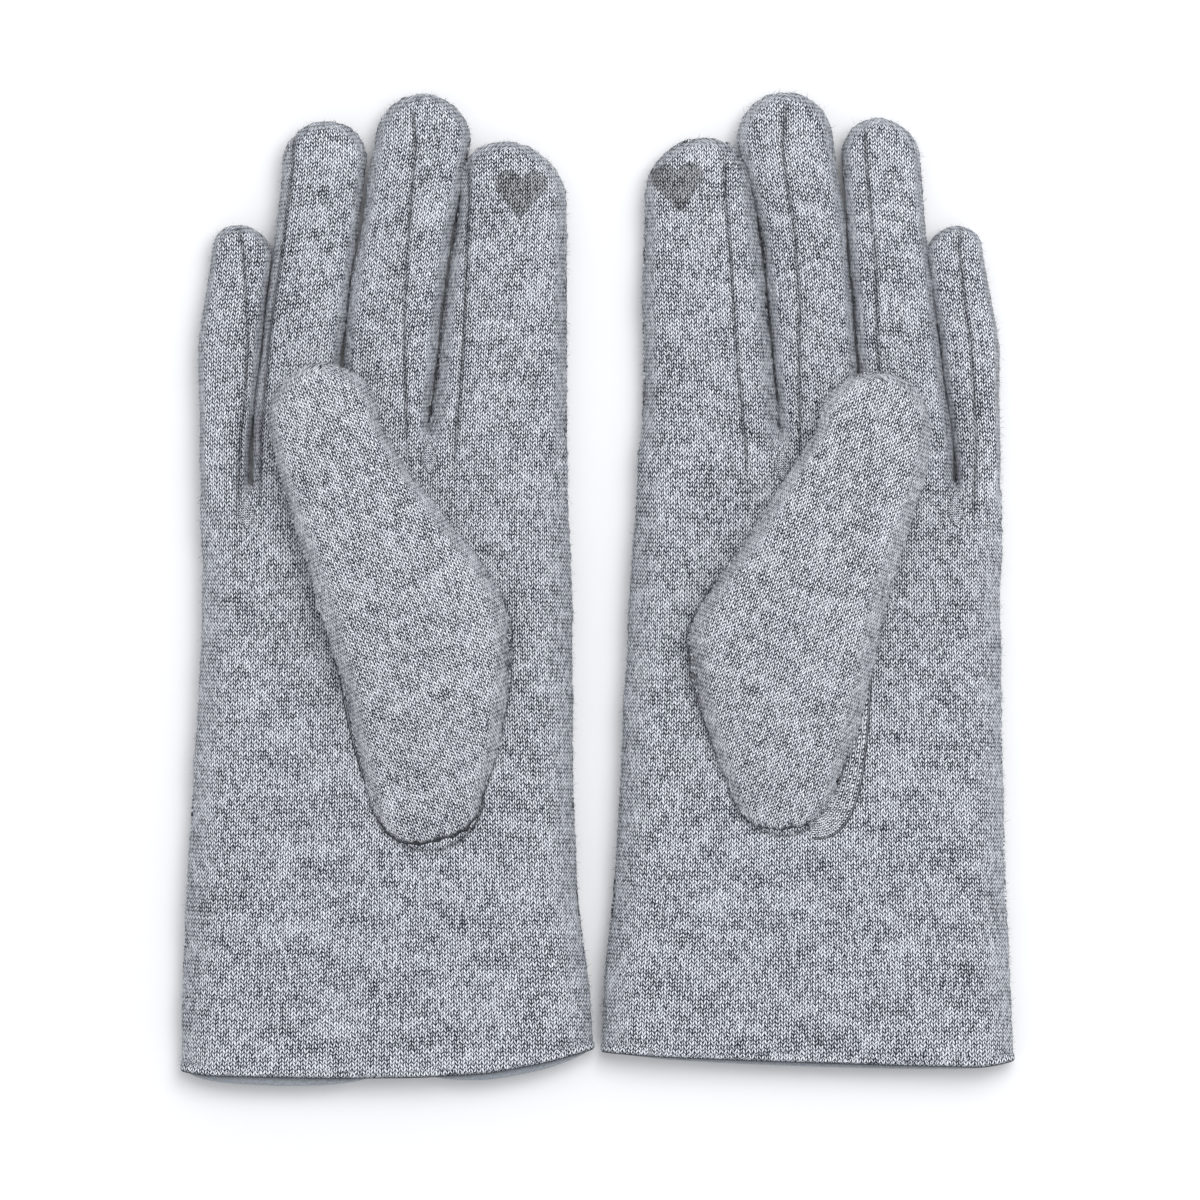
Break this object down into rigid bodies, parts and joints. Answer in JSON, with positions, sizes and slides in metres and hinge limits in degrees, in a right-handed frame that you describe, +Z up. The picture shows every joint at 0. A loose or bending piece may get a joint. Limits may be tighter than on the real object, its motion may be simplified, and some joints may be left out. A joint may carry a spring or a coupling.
{
  "type": "touchscreen gloves",
  "caption": "Pair of knit gloves lying palm up, thumbs folded over the palms, open cuffs, bending fingers and a conductive patch on each index fingertip.",
  "frame": {"origin": "on the ground under the middle of the pair's box", "axes": "+Z up, out of the palms; +Y towards the fingertips; +X from the right-hand glove towards the left-hand glove"},
  "size_m": [0.1976, 0.2358, 0.0253],
  "materials": {
    "heathered_knit": "light grey heathered fine wool knit, matt and slightly fuzzy",
    "brushed_lining": "plain grey brushed jersey",
    "conductive_knit": "darker grey conductive knit",
    "sewing_thread": "grey spun polyester thread"
  },
  "bodies": {
    "right_hand": {"right_cuff_hem": "heathered_knit", "right_hand_lining": "brushed_lining", "right_hand_shell": "heathered_knit", "right_hem_stitch": "sewing_thread", "right_index_root": "heathered_knit", "right_little_root": "heathered_knit", "right_middle_root": "heathered_knit", "right_quirks": "heathered_knit", "right_ring_root": "heathered_knit", "right_root_fourchettes": "heathered_knit", "right_root_linings": "brushed_lining", "right_thumb_base": "heathered_knit", "right_thumb_base_lining": "brushed_lining", "right_thumb_gusset": "heathered_knit"},
    "right_index": {"right_index_fourchettes": "heathered_knit", "right_index_lining": "brushed_lining", "right_index_stall": "heathered_knit", "right_touch_heart": "conductive_knit"},
    "right_middle": {"right_middle_fourchettes": "heathered_knit", "right_middle_lining": "brushed_lining", "right_middle_stall": "heathered_knit"},
    "right_ring": {"right_ring_fourchettes": "heathered_knit", "right_ring_lining": "brushed_lining", "right_ring_stall": "heathered_knit"},
    "right_little": {"right_little_fourchettes": "heathered_knit", "right_little_lining": "brushed_lining", "right_little_stall": "heathered_knit"},
    "right_thumb": {"right_thumb_stall": "heathered_knit", "right_thumb_lining": "brushed_lining"},
    "left_hand": {"left_cuff_hem": "heathered_knit", "left_hand_lining": "brushed_lining", "left_hand_shell": "heathered_knit", "left_hem_stitch": "sewing_thread", "left_index_root": "heathered_knit", "left_little_root": "heathered_knit", "left_middle_root": "heathered_knit", "left_quirks": "heathered_knit", "left_ring_root": "heathered_knit", "left_root_fourchettes": "heathered_knit", "left_root_linings": "brushed_lining", "left_thumb_base": "heathered_knit", "left_thumb_base_lining": "brushed_lining", "left_thumb_gusset": "heathered_knit"},
    "left_index": {"left_index_fourchettes": "heathered_knit", "left_index_lining": "brushed_lining", "left_index_stall": "heathered_knit", "left_touch_heart": "conductive_knit"},
    "left_middle": {"left_middle_fourchettes": "heathered_knit", "left_middle_lining": "brushed_lining", "left_middle_stall": "heathered_knit"},
    "left_ring": {"left_ring_fourchettes": "heathered_knit", "left_ring_lining": "brushed_lining", "left_ring_stall": "heathered_knit"},
    "left_little": {"left_little_fourchettes": "heathered_knit", "left_little_lining": "brushed_lining", "left_little_stall": "heathered_knit"},
    "left_thumb": {"left_thumb_stall": "heathered_knit", "left_thumb_lining": "brushed_lining"}
  },
  "joints": [
    {"name": "pair_spread", "type": "slide", "parent": "right_hand", "child": "left_hand", "axis": [1, 0, 0], "range_m": [0, 0.06]},
    {"name": "right_index_bend", "type": "hinge", "parent": "right_hand", "child": "right_index", "pos_m": [-0.0226, 0.0564, 0.013], "axis": [0.9978, -0.0663, 0], "range_deg": [0, 85]},
    {"name": "right_middle_bend", "type": "hinge", "parent": "right_hand", "child": "right_middle", "pos_m": [-0.0498, 0.0564, 0.013], "axis": [0.9863, -0.165, 0], "range_deg": [0, 85]},
    {"name": "right_ring_bend", "type": "hinge", "parent": "right_hand", "child": "right_ring", "pos_m": [-0.0702, 0.0564, 0.013], "axis": [0.9942, -0.108, 0], "range_deg": [0, 85]},
    {"name": "right_little_bend", "type": "hinge", "parent": "right_hand", "child": "right_little", "pos_m": [-0.0881, 0.0397, 0.013], "axis": [0.9956, -0.0941, 0], "range_deg": [0, 85]},
    {"name": "right_thumb_lift", "type": "hinge", "parent": "right_hand", "child": "right_thumb", "pos_m": [-0.0405, -0.013, 0.0253], "axis": [0.9063, 0.4226, 0], "range_deg": [0, 60]},
    {"name": "left_index_bend", "type": "hinge", "parent": "left_hand", "child": "left_index", "pos_m": [0.0254, 0.0564, 0.013], "axis": [0.9986, 0.0523, 0], "range_deg": [0, 85]},
    {"name": "left_middle_bend", "type": "hinge", "parent": "left_hand", "child": "left_middle", "pos_m": [0.0515, 0.0564, 0.013], "axis": [0.9919, 0.1271, 0], "range_deg": [0, 85]},
    {"name": "left_ring_bend", "type": "hinge", "parent": "left_hand", "child": "left_ring", "pos_m": [0.0712, 0.0564, 0.013], "axis": [0.9959, 0.0906, 0], "range_deg": [0, 85]},
    {"name": "left_little_bend", "type": "hinge", "parent": "left_hand", "child": "left_little", "pos_m": [0.0894, 0.0397, 0.013], "axis": [0.9942, 0.108, 0], "range_deg": [0, 85]},
    {"name": "left_thumb_lift", "type": "hinge", "parent": "left_hand", "child": "left_thumb", "pos_m": [0.0424, -0.012, 0.0253], "axis": [0.9397, -0.342, 0], "range_deg": [0, 60]}
  ]
}
